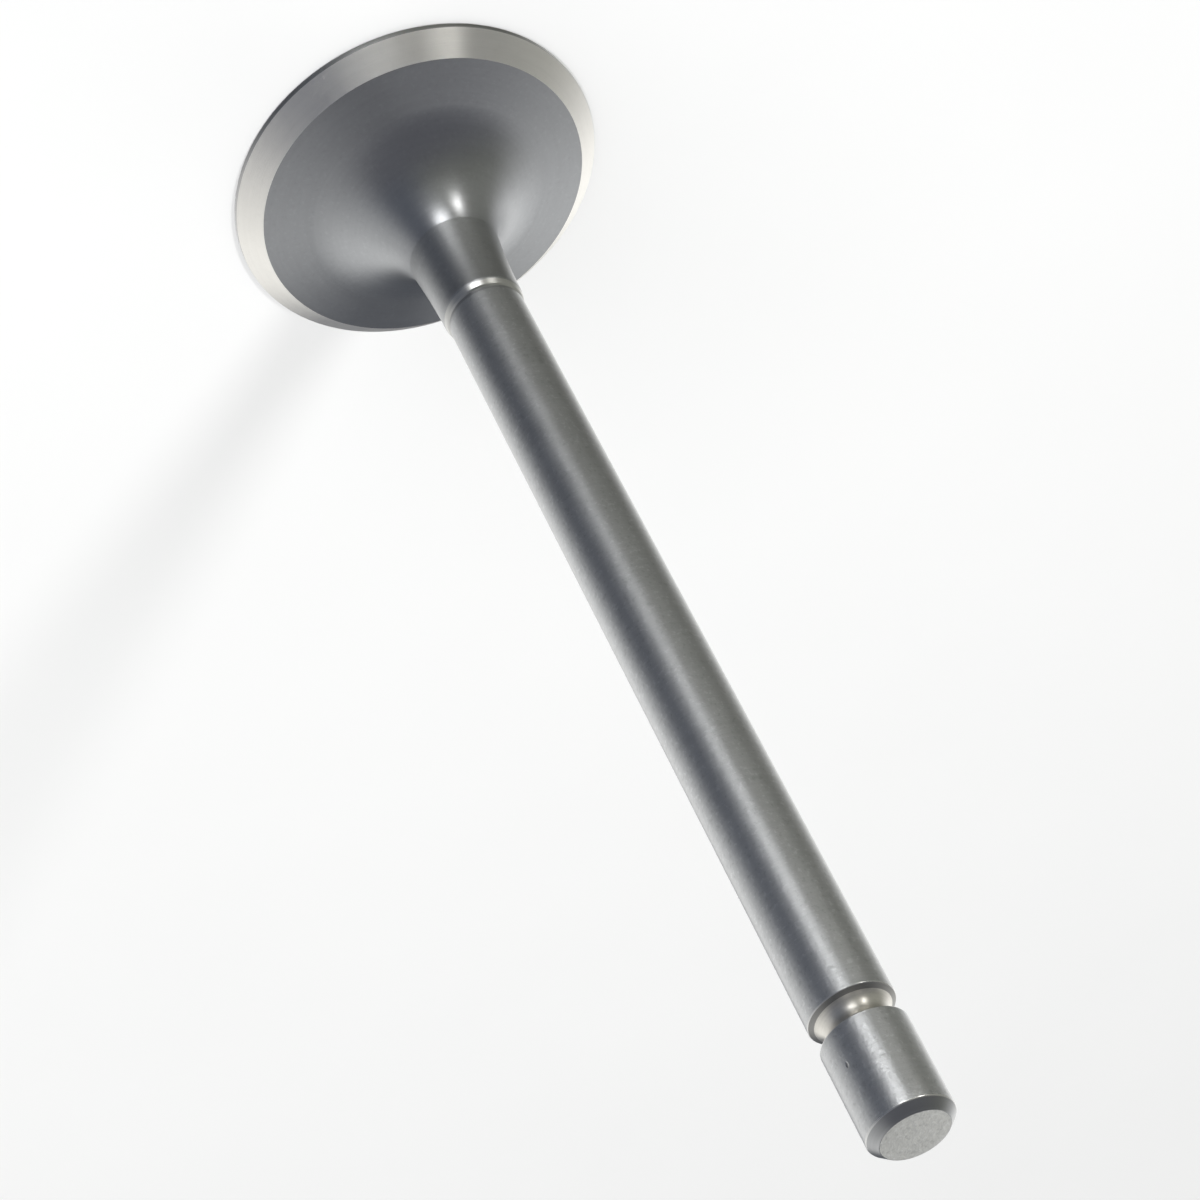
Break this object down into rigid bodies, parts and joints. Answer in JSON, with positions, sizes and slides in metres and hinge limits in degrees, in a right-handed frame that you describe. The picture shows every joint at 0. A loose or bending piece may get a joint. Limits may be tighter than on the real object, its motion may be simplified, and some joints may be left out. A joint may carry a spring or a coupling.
{
  "type": "engine valve",
  "caption": "Poppet valve: disc head with a ground seat cone, trumpet fillet and tapered neck, straight ground stem, one round keeper groove and a chamfered flat tip.",
  "frame": {"origin": "centre of the flat combustion face, on which the valve stands", "axes": "+Z along the stem from the head to the tip; X and Y are free, because the part is round"},
  "size_m": [0.0344, 0.0344, 0.1114],
  "materials": {
    "valve_steel": "ground bright seat, satin dark nitrided head back and stem"
  },
  "bodies": {
    "root": {"valve": "valve_steel"}
  },
  "joints": []
}
